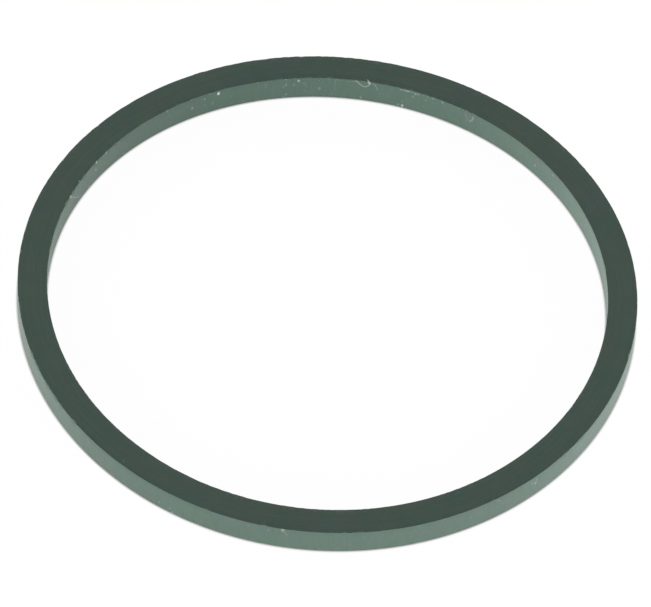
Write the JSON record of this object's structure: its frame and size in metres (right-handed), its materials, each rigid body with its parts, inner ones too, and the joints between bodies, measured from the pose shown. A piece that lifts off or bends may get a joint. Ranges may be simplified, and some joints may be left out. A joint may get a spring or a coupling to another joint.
{
  "type": "square ring seal",
  "caption": "Thin rubber sealing ring of square section, with flat side faces, straight inner and outer walls and hair-fine edges.",
  "frame": {"origin": "centre of the lower side face, on the ring's axis", "axes": "+Z along the ring's axis, from the lower side face to the upper one; +X and +Y are any two radii at right angles, because the ring is round"},
  "size_m": [0.0382, 0.0382, 0.0018],
  "materials": {
    "seal_rubber": "dull, dark green-grey rubber with a soft wide gloss and a little dust"
  },
  "bodies": {
    "root": {"square_ring": "seal_rubber"}
  },
  "joints": []
}
